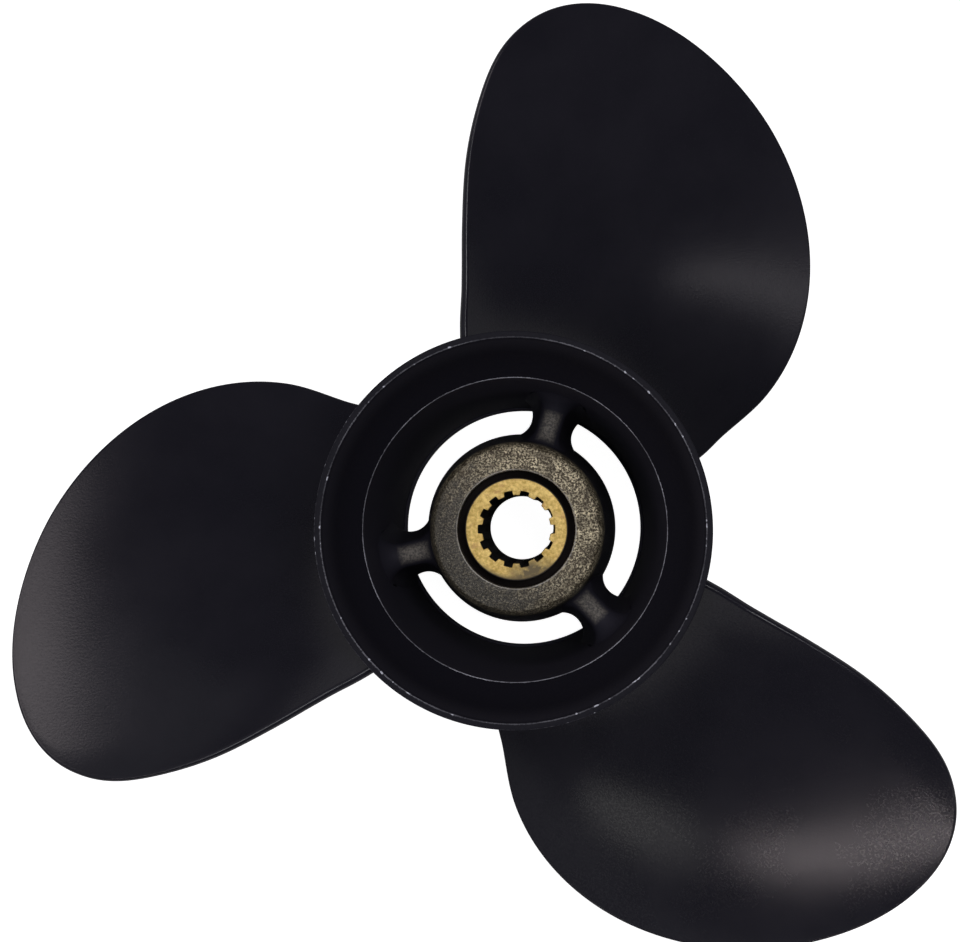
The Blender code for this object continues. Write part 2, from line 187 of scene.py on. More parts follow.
# A stain on the brass, used also as painted shade round its lower outer edge
BRASS_STAIN_AND_SHADE = (0.15, 0.115, 0.06)
# Painted shade for the brass inside its bore and round its side
BRASS_SHADE = (0.010, 0.008, 0.007)
RUBBER = (0.006, 0.004, 0.004)
RUBBER_DARK = (0.004, 0.003, 0.003)
RUBBER_LIGHT = (0.012, 0.007, 0.006)

# Grain, as sizes in millimetres, and the depth of the bumps that it makes
PAINT_GRAIN = 0.55
METAL_GRAINS = (0.28, 0.46, 3.2)
RUBBER_GRAIN = 0.6
BRASS_GRAIN = 0.9
BRASS_STAIN_GRAIN = 2.6
PAINT_BUMP = 0.02 * MM
METAL_BUMP = 0.25 * MM
BRASS_BUMP = 0.05 * MM

# Wear and stains
RIM_WEAR = 0.22 * MM  # a worn edge's width
BOWL_EDGE_WEAR = 0.25 * MM
BOSS_EDGE_WEAR = 0.17 * MM
CHIP_SCALE = 1.9  # noise scales are per millimetre
WEAR_SCALE = 0.09
DENT_SCALE = 0.7
DULL_ROUGHNESS = 0.6
WORN_ROUGHNESS = 0.5
STREAK_COUNT = 9  # the boss's streaks, along which the painted glints lie, are short arcs, about this many to a radian
STREAK_WIDTH = 0.6 * MM
SMUDGE_PLACE = (3.0 * MM, -11.2 * MM, 60 * MM)  # on the brass, measured after the scaling below
SMUDGE_SCALE = (0.6, 1, 1)
SMUDGE_REACH = 5.2 * MM
SMUDGE_CORE = 2.2 * MM

# Sides of the part, each as a vector whose dot product with a place in metres grows towards that side
RIM_WORN_SIDE = (-17, -13, 0)
COARSE_SIDE = (8, -10, 0)
# Painted shade on the boss's face grows towards this side
PAINTED_SHADE_SIDE = (-33, -23, 0)

# Lights: the clockwise angle, the tilt from the shaft's axis and the roll in degrees, the distance and the
# two sizes in metres, the watts and the colour
LIGHTS = {
    "light_right": (136, 52.6, -35, 2.5, 2.25, 0.24, 1.6, (1, 0.95, 1)),
    "light_low_left": (212.9, 52.1, 19, 2.5, 1.22, 0.05, 2.4, (1, 0.89, 0.90)),
    "light_left": (241.6, 65.3, 35, 2.5, 1.00, 0.41, 0.8, (1, 0.98, 0.94)),
    "light_top": (340.5, 38.9, -25, 2.5, 1.90, 0.61, 5.5, (1, 0.90, 0.92)),
    "light_above": (50, 16, 0, 1.3, 0.6, 0.6, 4.4, (0.97, 0.97, 1)),
    "light_fill": (230, 20, 0, 1.3, 0.5, 0.5, 2.2, (0.95, 0.96, 1)),
    "light_room": (290, 50, 0, 2.5, 3.5, 3.5, 4.4, (0.95, 0.95, 1)),
}
ROOM_COLOUR = (0.9, 0.92, 1, 1)
ROOM_STRENGTH = 0.045


def new_piece(name, shape, material, slot, *nodes):
    """Turns the shape into an object that stands for these nodes of the frame."""
    mesh = bpy.data.meshes.new(name)
    shape.to_mesh(mesh)
    shape.free()
    mesh.shade_smooth()
    mesh.materials.append(material)
    piece = bpy.data.objects.new(name, mesh)
    bpy.context.scene.collection.objects.link(piece)
    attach(piece, "root")
    if nodes:
        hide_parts(*nodes)
    return piece


def turned(corners, steps):
    """A ring turned about the shaft's axis from corners of radius, height and rounding."""
    shape = bmesh.new()
    verts = [shape.verts.new((radius, 0, height)) for radius, height, _ in corners]
    for start, end in zip(verts, verts[1:] + verts[:1]):
        shape.edges.new((start, end))
    for vert, (_, _, rounding) in zip(verts, corners):
        if rounding:
            bmesh.ops.bevel(
                shape,
                geom=[vert],
                offset=rounding,
                affect="VERTICES",
                segments=ROUND_STEPS,
                profile=0.5,
                material=-1,
            )
    for edge in shape.edges[:]:
        cuts = int(edge.calc_length() / RING_SPACING)
        if cuts:
            bmesh.ops.subdivide_edges(shape, edges=[edge], cuts=cuts)
    bmesh.ops.spin(
        shape,
        geom=shape.verts[:] + shape.edges[:],
        cent=(0, 0, 0),
        axis=(0, 0, 1),
        angle=2 * math.pi,
        steps=steps,
        use_merge=True,
    )
    bmesh.ops.recalc_face_normals(shape, faces=shape.faces)
    return shape


def close_ends(shape):
    """Fills the two open ends of a sheet that is wrapped round a piece."""
    ends = [edge for edge in shape.edges if edge.is_boundary]
    bmesh.ops.holes_fill(shape, edges=ends, sides=0)
    bmesh.ops.triangulate(shape, faces=[face for face in shape.faces if len(face.verts) > 4])
    bmesh.ops.recalc_face_normals(shape, faces=shape.faces)


def turn_clockwise(shape, angle):
    """Turns a shape about the shaft's axis, clockwise as seen from the aft end."""
    turn = Matrix.Rotation(-angle, 3, "Z")
    bmesh.ops.rotate(shape, verts=shape.verts, cent=(0, 0, 0), matrix=turn)


def fillet(height, radius):
    """How far a fillet of this radius stands off a wall's foot, at this height above the floor."""
    if height >= radius:
        return 0
    return radius - math.sqrt(max(radius**2 - (radius - max(height, 0)) ** 2, 0))


def barrel_radius(z):
    return BARREL_FRONT_RADIUS + (BARREL_AFT_RADIUS - BARREL_FRONT_RADIUS) * z / BARREL_TOP


def bore_radius(z):
    share = (z - FRONT_LIP_LENGTH) / (HUB_LENGTH - BOWL_DEPTH - FRONT_LIP_LENGTH)
    return BORE_FRONT_RADIUS + (BOWL_EDGE_RADIUS - BORE_FRONT_RADIUS) * share


def boss_radius(z):
    share = (BOSS_AFT_Z - z) / (BOSS_AFT_Z - BOSS_FRONT_Z)
    return BOSS_AFT_RADIUS + (BOSS_FRONT_RADIUS - BOSS_AFT_RADIUS) * share


def hub_radius(z):
    share = min(max((z - BARREL_TOP) / (HUB_LENGTH - BARREL_TOP), 0), 1)
    return barrel_radius(min(z, BARREL_TOP)) + (RIM_RADIUS - BARREL_AFT_RADIUS) * share**FLARE_CURVE


def make_hub(paint):
    """The barrel and the flared ring, which are one wall."""
    flare = HUB_LENGTH - BARREL_TOP
    outside = []
    for i in range(1, FLARE_STEPS + 1):
        z = HUB_LENGTH - flare * i / FLARE_STEPS
        outside.append((hub_radius(z), z, 0))
    bowl_width = RIM_RADIUS - RIM_WIDTH - BOWL_EDGE_RADIUS
    bowl = []
    for i in range(1, FLARE_STEPS):
        share = i / FLARE_STEPS
        hollow = BOWL_HOLLOW * math.sin(math.pi * share)
        z = HUB_LENGTH - BOWL_DEPTH * (1 - share) - hollow
        bowl.append((BOWL_EDGE_RADIUS + bowl_width * share + hollow, z, 0))
    corners = [
        (RIM_RADIUS, HUB_LENGTH, 0.3 * MM),
        *outside,
        (BARREL_FRONT_RADIUS, 0, 0.9 * MM),
        (FRONT_OPENING_RADIUS, 0, 0.8 * MM),
        (FRONT_OPENING_RADIUS, FRONT_LIP_LENGTH, 0.4 * MM),
        (BORE_FRONT_RADIUS, FRONT_LIP_LENGTH, 0.2 * MM),
        (BOWL_EDGE_RADIUS, HUB_LENGTH - BOWL_DEPTH, 0.25 * MM),
        *bowl,
        (RIM_RADIUS - RIM_WIDTH, HUB_LENGTH, 0.25 * MM),
    ]
    shape = turned(corners, HUB_STEPS)
    soot_and_shade = shape.verts.layers.float.new("soot_and_shade")
    for vert in shape.verts:
        up_bowl = min(max((vert.co.z - HUB_LENGTH + BOWL_DEPTH) / BOWL_DEPTH, 0), 1)
        wall = bore_radius(vert.co.z) if up_bowl == 0 else BOWL_EDGE_RADIUS + bowl_width * up_bowl
        if math.hypot(vert.co.x, vert.co.y) < wall + 2 * BOWL_HOLLOW + 0.3 * MM:
            # In the bowl the level rises towards the inner edge, painting shade deeper in
            vert[soot_and_shade] = 1 if up_bowl == 0 else min(max((1 - up_bowl) * BOWL_SOOT_AND_SHADE_RISE, DULL), BOWL_SOOT_AND_SHADE)
        if vert.co.z > HUB_LENGTH - RIM_SOOT_DEPTH:
            vert[soot_and_shade] = RIM_SOOT
    return new_piece("cast_hub", shape, paint, "black_paint", "hub_barrel", "flare_ring")


def make_boss(bare):
    """The boss, with the slightly lumpy aft face that the mould left."""
    crown = []
    crown_width = BOSS_AFT_RADIUS - BOSS_HOLE_RADIUS - CROWN_MARGINS
    for i in range(1, CROWN_STEPS + 1):
        share = i / CROWN_STEPS
        radius = BOSS_HOLE_RADIUS + CROWN_INSET + crown_width * share
        rounding = 1.4 * MM if i == CROWN_STEPS else 0
        crown.append((radius, BOSS_AFT_Z - BOSS_CROWN_DROP * share**CROWN_CURVE, rounding))
    corners = [
        *crown,
        (BOSS_AFT_RADIUS, BOSS_AFT_Z - 2.6 * MM, 1.2 * MM),
        (BOSS_FRONT_RADIUS, BOSS_FRONT_Z, 1.5 * MM),
        (BUSH_SEAT_RADIUS, BOSS_FRONT_Z, 0.6 * MM),
        (BUSH_SEAT_RADIUS, BOSS_AFT_Z - BOSS_SHOULDER, 0),
        (BOSS_HOLE_RADIUS, BOSS_AFT_Z - BOSS_SHOULDER, 0.3 * MM),
        (BOSS_HOLE_RADIUS, BOSS_AFT_Z - 0.3 * MM, 0),
        (BOSS_HOLE_RADIUS + 0.35 * MM, BOSS_AFT_Z, 0.1 * MM),
    ]
    shape = turned(corners, HUB_STEPS)
    for vert in shape.verts:
        radius = math.hypot(vert.co.x, vert.co.y)
        if vert.co.z > BOSS_AFT_Z - 2 * MM and radius > BOSS_HOLE_RADIUS + 0.5 * MM:
            lump = noise.noise(vert.co / (2.5 * MM)) + 0.5 * noise.noise(vert.co / (0.9 * MM))
            vert.co.z += CAST_LUMPS * (lump - 1.5)
    return new_piece("cast_boss", shape, bare, "bare_casting", "inner_boss")


def rib_section(share):
    """The point and the outward direction on the rib's outline, this share of the way from one front corner
    over the aft edge to the other. At the corners the outline narrows, and the direction leans forward."""
    round_radius = RIB_AFT_THICKNESS / 2
    round_z = RIB_AFT_Z - round_radius
    half_front = RIB_FRONT_THICKNESS / 2
    if share < RIB_SIDE_SHARE or share > 1 - RIB_SIDE_SHARE:
        side = -1 if share < 0.5 else 1
        rise = min(share, 1 - share) / RIB_SIDE_SHARE
        x = half_front + (round_radius - half_front) * rise
        z = RIB_FRONT_Z + (round_z - RIB_FRONT_Z) * rise
        corner = max(1 - rise * RIB_CORNER_FADE, 0)
        x -= RIB_CORNER_INSET * corner**2
        return Vector((side * x, z)), Vector((side * (1 - 0.7 * corner), -0.3 * corner))
    turn = math.pi * (share - RIB_SIDE_SHARE) / RIB_ROUND_SHARE
    way = Vector((-math.cos(turn), math.sin(turn)))
    return Vector((0, round_z)) + round_radius * way, way


def make_rib(number, paint):
    """A bar that swells into a fillet at the boss and at the barrel's wall."""
    shape = bmesh.new()
    worn = shape.verts.layers.float.new("worn")
    soot_and_shade = shape.verts.layers.float.new("soot_and_shade")
    bmesh.ops.create_grid(shape, x_segments=RIB_STEPS[0], y_segments=RIB_STEPS[1], size=0.5)
    for vert in shape.verts:
        around, along = vert.co.x + 0.5, vert.co.y + 0.5
        along = (1 - math.cos(math.pi * along)) / 2
        vert[soot_and_shade] = RIB_SOOT
        point, way = rib_section(around)
        length = bore_radius(point.y) - boss_radius(point.y)
        height = along * length
        swell = fillet(height, RIB_BOSS_FILLET) + fillet(length - height, RIB_WALL_FILLET)
        x, z = point + way * swell
        # The ridge stripe: worn paint that also paints a highlight along the rounded aft edge
        across = (RIB_WEAR_SHEEN_HALF - abs(x)) / RIB_WEAR_SHEEN_BLUR if z > RIB_AFT_Z - RIB_AFT_THICKNESS else 0
        lengthwise = min(height - RIB_WEAR_SHEEN_START, RIB_WEAR_SHEEN_END * length - height) / RIB_WEAR_SHEEN_BLUR
        vert[worn] = min(max(min(across, lengthwise), 0), 1)
        near = math.sqrt(boss_radius(z) ** 2 - x**2) - ROOT_SINK
        far = math.sqrt(bore_radius(z) ** 2 - x**2) + ROOT_SINK
        vert.co = (x, near + (far - near) * along, z)
    close_ends(shape)
    turn_clockwise(shape, math.radians(RIB_ANGLE + 360 / BLADE_COUNT * (number - 1)))
    return new_piece(f"cast_rib_{number}", shape, paint, "black_paint", f"rib_{number}")


def station_columns():
    """For each station: radius, middle angle, fullness and thickness. Fullness times the root of the
    distance to the tip is half the angle that the blade spans there, so the blade ends in a round tip."""
    rows = []
    for radius, trailing, leading, thickness in BLADE_STATIONS:
        half = math.radians(leading - trailing) / 2
        fullness = half / math.sqrt(1 - 2 * radius / DIAMETER)
        rows.append((radius, math.radians(leading + trailing) / 2, fullness, thickness))
    return rows


def along_stations(rows, radius, column):
    """A smooth curve through the stations."""
    last = len(rows) - 1
    i = max(index for index in range(last) if index == 0 or rows[index][0] <= radius)
    low, high = rows[i], rows[i + 1]
    before, after = rows[max(i - 1, 0)], rows[min(i + 2, last)]
    span = high[0] - low[0]
    share = (radius - low[0]) / span
    start = (high[column] - before[column]) / (high[0] - before[0]) * span
    end = (after[column] - low[column]) / (after[0] - low[0]) * span
    if share > 1:
        return high[column] + (share - 1) * end
    square, cube = share**2, share**3
    return (
        (2 * cube - 3 * square + 1) * low[column]
        + (cube - 2 * square + share) * start
        + (3 * square - 2 * cube) * high[column]
        + (cube - square) * end
    )


def inside_outline(rows, radius, angle):
    """Positive inside the blade's outline, 0 on it and negative outside."""
    half_squared = along_stations(rows, radius, 2) ** 2 * (1 - 2 * radius / DIAMETER)
    return half_squared - (angle - along_stations(rows, radius, 1)) ** 2


def edge_distance(rows, radius, angle):
    """How far this point of the blade's sheet lies from the outline, good near the outline."""
    step = 0.1 * MM
    here = inside_outline(rows, radius, angle)
    beyond = inside_outline(rows, radius + step, angle)
    before = inside_outline(rows, radius - step, angle)
    outward = (beyond - before) / (2 * step)
    arc = math.hypot(radius, PITCH / (2 * math.pi))
    across = 2 * (angle - along_stations(rows, radius, 1)) / arc
    return max(here, 0) / max(math.hypot(outward, across), 1e-9)


def blade_point(rows, share, side, span):
    """A point of the blade's skin: share runs from the trailing to the leading edge, span from the hub to
    the tip, and side is 1 aft and -1 forward. The hub widens with height, so each pass of the loop brings
    the root's radius nearer to the one at the point's own height."""
    root = hub_radius(BLADE_MID_Z) - SKIN
    radius = root + (DIAMETER / 2 - root) * span
    for _ in range(3):
        half = along_stations(rows, radius, 2) * math.sqrt(max(1 - 2 * radius / DIAMETER, 0))
        arc = math.hypot(radius, PITCH / (2 * math.pi))
        crown = 4 * share * (1 - share)
        above_hub = radius - root
        angle = along_stations(rows, radius, 1) + half * (2 * share - 1)
        distance = edge_distance(rows, radius, angle)
        rounding = math.sqrt(1 - (1 - min(distance / EDGE_RADIUS, 1)) ** 2)
        thick = EDGE_THICKNESS + (along_stations(rows, radius, 3) - EDGE_THICKNESS) * crown
        cup = CUP_HEIGHT * max(1 - share / CUP_SHARE, 0) ** 2
        cup *= min(span * CUP_RISE, (1 - span) * CUP_FADE, 1)
        face = cup - FACE_HOLLOW * 2 * half * arc * crown
        swell = fillet(above_hub, EDGE_FILLET + (ROOT_FILLET - EDGE_FILLET) * math.sqrt(crown))
        offset = face - thick / 2 + side * rounding * (thick / 2 + swell)
        slope = math.atan2(PITCH, 2 * math.pi * radius)
        widened = angle + (2 * share - 1) * fillet(above_hub, EDGE_FILLET) / arc
        turned_back = math.radians(BLADE_MID_ANGLE) - widened
        rake = BLADE_RAKE * (radius - RIM_RADIUS)
        z = BLADE_MID_Z + PITCH * turned_back / (2 * math.pi) + rake + offset * math.cos(slope)
        turn = widened + offset * math.sin(slope) / radius
        root = hub_radius(z) - SKIN
        radius = root + (DIAMETER / 2 - root) * span
    return Vector((radius * math.sin(turn), radius * math.cos(turn), z))


def blade_shape():
    """A sheet wrapped round the blade: X goes once round the section, and Y from the hub to the tip."""
    rows = station_columns()
    shape = bmesh.new()
    bmesh.ops.create_grid(shape, x_segments=2 * CHORD_STEPS, y_segments=SPAN_STEPS, size=1)
    for vert in shape.verts:
        share = (1 - math.cos(math.pi * (vert.co.x + 1))) / 2
        side = -1 if vert.co.x > 0 else 1
        span = (1 - math.cos(math.pi * (vert.co.y + 1) / 2)) / 2
        vert.co = blade_point(rows, share, side, span)
    bmesh.ops.remove_doubles(shape, verts=shape.verts, dist=MERGE_DISTANCE)
    rim = [edge for edge in shape.edges if edge.is_boundary]
    sunk = bmesh.ops.extrude_edge_only(shape, edges=rim)
    for vert in sunk["geom"]:
        if isinstance(vert, bmesh.types.BMVert):
            radius = math.hypot(vert.co.x, vert.co.y)
            vert.co.x *= 1 - ROOT_SINK / radius
            vert.co.y *= 1 - ROOT_SINK / radius
    close_ends(shape)
    return shape


def make_blades(paint):
    first = blade_shape()
    for number in range(1, BLADE_COUNT + 1):
        shape = first.copy()
        turn_clockwise(shape, 2 * math.pi / BLADE_COUNT * (number - 1))
        new_piece(f"cast_blade_{number}", shape, paint, "black_paint", f"blade_{number}")
    first.free()


def make_bush(rubber):
    corners = [
        (BUSH_RADIUS, BUSH_TOP, 0.6 * MM),
        (BUSH_RADIUS, BUSH_FRONT, 0.8 * MM),
        (SLEEVE_RADIUS - BUSH_OVERLAP, BUSH_FRONT, 0.8 * MM),
        (SLEEVE_RADIUS - BUSH_OVERLAP, BUSH_TOP, 0.3 * MM),
    ]
    return new_piece("bush", turned(corners, HUB_STEPS), rubber, "rubber", "rubber_bush")


def notch_depth(angle):
    """How far the bore is cut back at this angle, from 0 on a tooth to 1 in a notch."""
    share = abs((angle * SPLINE_TEETH / (2 * math.pi) + 0.5) % 1 - 0.5) * 2
    slope = (SPLINE_MOUTH_SHARE - share) / (SPLINE_MOUTH_SHARE - SPLINE_FLOOR_SHARE)
    slope = min(max(slope, 0), 1)
    return slope * slope * (3 - 2 * slope)


def make_sleeve(brass):
    """A turned ring whose bore is pushed out into notches."""
    corners = [
        (SLEEVE_RADIUS, SLEEVE_AFT_Z, 0.15 * MM),
        (SLEEVE_RADIUS, SLEEVE_FRONT_Z, 0.45 * MM),
        (SPLINE_TIP_RADIUS, SLEEVE_FRONT_Z, 0.2 * MM),
        (SPLINE_TIP_RADIUS, SLEEVE_AFT_Z, 0.2 * MM),
    ]
    shape = turned(corners, SPLINE_TEETH * STEPS_PER_TOOTH)
    for vert in shape.verts:
        radius = math.hypot(vert.co.x, vert.co.y)
        share = (SLEEVE_RADIUS - radius) / (SLEEVE_RADIUS - SPLINE_TIP_RADIUS)
        if share > 0:
            depth = (SPLINE_ROOT_RADIUS - SPLINE_TIP_RADIUS) * notch_depth(math.atan2(vert.co.y, vert.co.x))
            depth *= min(max((vert.co.z - SLEEVE_FRONT_Z - SPLINE_PLAIN_LENGTH) / RING_SPACING, 0), 1)
            vert.co.x *= 1 + depth * share / radius
            vert.co.y *= 1 + depth * share / radius
    return new_piece("sleeve", shape, brass, "brass", "splined_sleeve")


def add_node(tree, kind, inputs=None, **settings):
    made = tree.nodes.new("ShaderNode" + kind)
    for name, value in settings.items():
        setattr(made, name, value)
    for socket, value in (inputs or {}).items():
        if isinstance(value, bpy.types.NodeSocket):
            tree.links.new(value, made.inputs[socket])
        else:
            made.inputs[socket].default_value = value
    return made


def new_group(name, inputs, outputs):
    """A shader group with these named sockets, and its two end nodes."""
    group = bpy.data.node_groups.new(name, "ShaderNodeTree")
    for socket, value in inputs.items():
        made = group.interface.new_socket(socket, in_out="INPUT", socket_type="NodeSocketFloat")
        made.default_value = value
    for socket in outputs:
        group.interface.new_socket(socket, in_out="OUTPUT", socket_type="NodeSocketFloat")
    start = group.nodes.new("NodeGroupInput")
    end = group.nodes.new("NodeGroupOutput")
    return group, start.outputs, end.inputs


def calculate(tree, operation, first, second):
    return add_node(tree, "Math", {0: first, 1: second}, operation=operation).outputs[0]


def greater(tree, first, second):
    return calculate(tree, "MAXIMUM", first, second)


def product(tree, first, second):
    return calculate(tree, "MULTIPLY", first, second)


def multiply_each(tree, place, factors):
    return add_node(tree, "VectorMath", {0: place, 1: factors}, operation="MULTIPLY").outputs["Vector"]


def length_of(tree, vector):
    return add_node(tree, "VectorMath", {0: vector}, operation="LENGTH").outputs["Value"]


def toward(tree, place, side):
    return add_node(tree, "VectorMath", {0: place, 1: side}, operation="DOT_PRODUCT").outputs["Value"]


def add_bump(tree, shader, height, distance, strength=1.0):
    bump = add_node(tree, "Bump", {"Height": height, "Distance": distance, "Strength": strength})
    tree.links.new(bump.outputs["Normal"], shader.inputs["Normal"])


def grain_group():
    """Grain of a given size in millimetres: a fine part, and slow patches forty times as large."""
    group, given, result = new_group("grain", {"Size": 0.5}, ("Fine", "Patches"))
    place = add_node(group, "TexCoord").outputs["Object"]
    scale = calculate(group, "DIVIDE", 1 / MM, given["Size"])
    fine = add_node(group, "TexNoise", {"Vector": place, "Scale": scale, "Detail": 3.0, "Roughness": 0.6})
    slow_scale = calculate(group, "DIVIDE", scale, 40.0)
    slow = add_node(group, "TexNoise", {"Vector": place, "Scale": slow_scale, "Detail": 4.0})
    group.links.new(fine.outputs["Fac"], result["Fine"])
    group.links.new(slow.outputs["Fac"], result["Patches"])
    return group


def new_finish(name, colour, roughness, metallic=0.0):
    """A material with its shader and node tree."""
    material = bpy.data.materials.new(name)
    material.use_nodes = True
    shader = material.node_tree.nodes["Principled BSDF"]
    shader.inputs["Base Color"].default_value = (*colour, 1)
    shader.inputs["Roughness"].default_value = roughness
    shader.inputs["Metallic"].default_value = metallic
    return material, material.node_tree, shader


def grain_node(tree, group, size):
    made = tree.nodes.new("ShaderNodeGroup")
    made.node_tree = group
    made.inputs["Size"].default_value = size
    return made.outputs


def ramp(tree, value, low, high, bottom=0.0, top=1.0):
    """A value that runs from bottom to top while the input runs from low to high."""
    limits = {"From Min": low, "From Max": high, "To Min": bottom, "To Max": top}
    return add_node(tree, "MapRange", {"Value": value, **limits}).outputs["Result"]


def blend_colour(tree, share, dark, light):
    made = add_node(tree, "Mix", {"Factor": share}, data_type="RGBA")
    for socket, colour in (("A", dark), ("B", light)):
        target = [item for item in made.inputs if item.name == socket and item.type == "RGBA"][0]
        if isinstance(colour, bpy.types.NodeSocket):
            tree.links.new(colour, target)
        else:
            target.default_value = (*colour, 1)
    return [item for item in made.outputs if item.type == "RGBA"][0]


def ring_wear_group():
    """Worn paint round an edge that is a ring about the shaft's axis. The sizes are in millimetres."""
    given_values = {"Radius": 46.0, "Height": 86.0, "Width": 0.4}
    group, given, result = new_group("ring_wear", given_values, ("Worn", "Chips"))
    place = add_node(group, "TexCoord").outputs["Object"]
    place = multiply_each(group, place, (1 / MM, 1 / MM, 1 / MM))
    radius = length_of(group, multiply_each(group, place, ACROSS_AXIS))
    height = add_node(group, "SeparateXYZ", {"Vector": place}).outputs["Z"]
    out = calculate(group, "SUBTRACT", radius, given["Radius"])
    up = calculate(group, "SUBTRACT", height, given["Height"])
    away = length_of(group, add_node(group, "CombineXYZ", {"X": out, "Y": up}).outputs["Vector"])
    share = calculate(group, "DIVIDE", away, given["Width"])
    fine = {"Vector": place, "Scale": CHIP_SCALE, "Detail": 3.0, "Roughness": 0.6}
    chips = add_node(group, "TexNoise", fine).outputs["Fac"]
    worn = calculate(group, "SUBTRACT", ramp(group, chips, 0.36, 0.66, 0.7, 1.5), share)
    slow = add_node(group, "TexNoise", {"Vector": place, "Scale": WEAR_SCALE, "Detail": 2.0}).outputs["Fac"]
    worn = product(group, ramp(group, worn, 0.0, 0.6), ramp(group, slow, 0.38, 0.60, 0.4, 1.0))
    big = add_node(group, "TexNoise", {"Vector": place, "Scale": DENT_SCALE, "Detail": 1.0}).outputs["Fac"]
    dent = calculate(group, "SUBTRACT", ramp(group, big, 0.60, 0.74, 0.0, 1.7), share)
    group.links.new(worn, result["Worn"])
    group.links.new(ramp(group, dent, 0.0, 0.5), result["Chips"])
    return group


def ring_wear(tree, group, radius, height, width):
    made = tree.nodes.new("ShaderNodeGroup")
    made.node_tree = group
    for socket, value in (("Radius", radius), ("Height", height), ("Width", width)):
        made.inputs[socket].default_value = value / MM
    return made.outputs


def paint_look(tree, grain):
    """The colour, roughness and height of black paint with a blue cast and a fine orange-peel grain."""
    fine = grain_node(tree, grain, PAINT_GRAIN)
    dust = ramp(tree, fine["Fine"], 0.62, 0.80)
    patches = ramp(tree, fine["Patches"], 0.35, 0.65)
    tone = blend_colour(tree, patches, PAINT_DARK, PAINT_LIGHT)
    colour = blend_colour(tree, dust, tone, PAINT_DUST)
    return colour, ramp(tree, fine["Patches"], 0.3, 0.7, 0.165, 0.185), fine["Fine"]


def black_paint(grain, wear):
    """Black paint, dull with soot in the exhaust passages and darker in the bowl as painted shade, and worn
    to grey on the hub's edges and ribs, where the ribs' worn stripe is also a painted highlight.
    """
    material, tree, shader = new_finish("black_paint", PAINT_DARK, 0.19)
    colour, roughness, height = paint_look(tree, grain)
    soot_and_shade_level = add_node(tree, "Attribute", attribute_name="soot_and_shade").outputs["Fac"]
    colour = blend_colour(tree, ramp(tree, soot_and_shade_level, 0, DULL), colour, DULL_COLOUR)
    # Painted shade: the bowl darkens towards its inner edge
    colour = blend_colour(tree, ramp(tree, soot_and_shade_level, DULL, BOWL_SOOT_AND_SHADE), colour, BOWL_SOOT_AND_SHADE_COLOUR)
    colour = blend_colour(tree, ramp(tree, soot_and_shade_level, BOWL_SOOT_AND_SHADE, 1.0), colour, BORE_COLOUR)
    roughness = ramp(tree, soot_and_shade_level, 0, DULL, roughness, DULL_ROUGHNESS)
    inner_rim = ring_wear(tree, wear, RIM_RADIUS - RIM_WIDTH, HUB_LENGTH, RIM_WEAR)
    outer_rim = ring_wear(tree, wear, RIM_RADIUS, HUB_LENGTH, RIM_WEAR)
    bowl_edge = ring_wear(tree, wear, BOWL_EDGE_RADIUS, HUB_LENGTH - BOWL_DEPTH, BOWL_EDGE_WEAR)
    place = add_node(tree, "TexCoord").outputs["Object"]
    left = ramp(tree, toward(tree, place, RIM_WORN_SIDE), -0.2, 0.5)
    outer_lines = product(tree, outer_rim["Worn"], ramp(tree, left, 0, 1, 0.0, 0.6))
    lines = greater(tree, inner_rim["Worn"], outer_lines)
    chips = greater(tree, inner_rim["Chips"], product(tree, outer_rim["Chips"], left))
    bare = greater(tree, bowl_edge["Worn"], chips)
    # Stripe on the ribs' ridges: worn paint and a painted highlight
    ridge_wear_and_sheen = add_node(tree, "Attribute", attribute_name="worn").outputs["Fac"]
    ridge_wear_and_sheen = product(tree, ridge_wear_and_sheen, ramp(tree, height, 0.40, 0.60, 0.35, 1.0))
    colour = blend_colour(tree, ridge_wear_and_sheen, colour, RUBBED_SHEEN_COLOUR)
    colour = blend_colour(tree, lines, colour, WORN_COLOUR)
    colour = blend_colour(tree, bare, colour, BARE_EDGE_COLOUR)
    worn = greater(tree, greater(tree, lines, bare), ridge_wear_and_sheen)
    roughness = ramp(tree, worn, 0, 1, roughness, WORN_ROUGHNESS)
    tree.links.new(colour, shader.inputs["Base Color"])
    tree.links.new(roughness, shader.inputs["Roughness"])
    speckle = ramp(tree, height, 0.40, 0.60, -1.0, 1.0)
    speckle = product(tree, speckle, ramp(tree, toward(tree, place, COARSE_SIDE), 0.4, 0.9, 0.04, 0.13))
    gloss = calculate(tree, "ADD", speckle, 0.5)
    gloss = product(tree, gloss, ramp(tree, soot_and_shade_level, 0, DULL, 1.0, 0.25))
    tree.links.new(gloss, shader.inputs["Specular IOR Level"])
    add_bump(tree, shader, height, PAINT_BUMP)
    return material


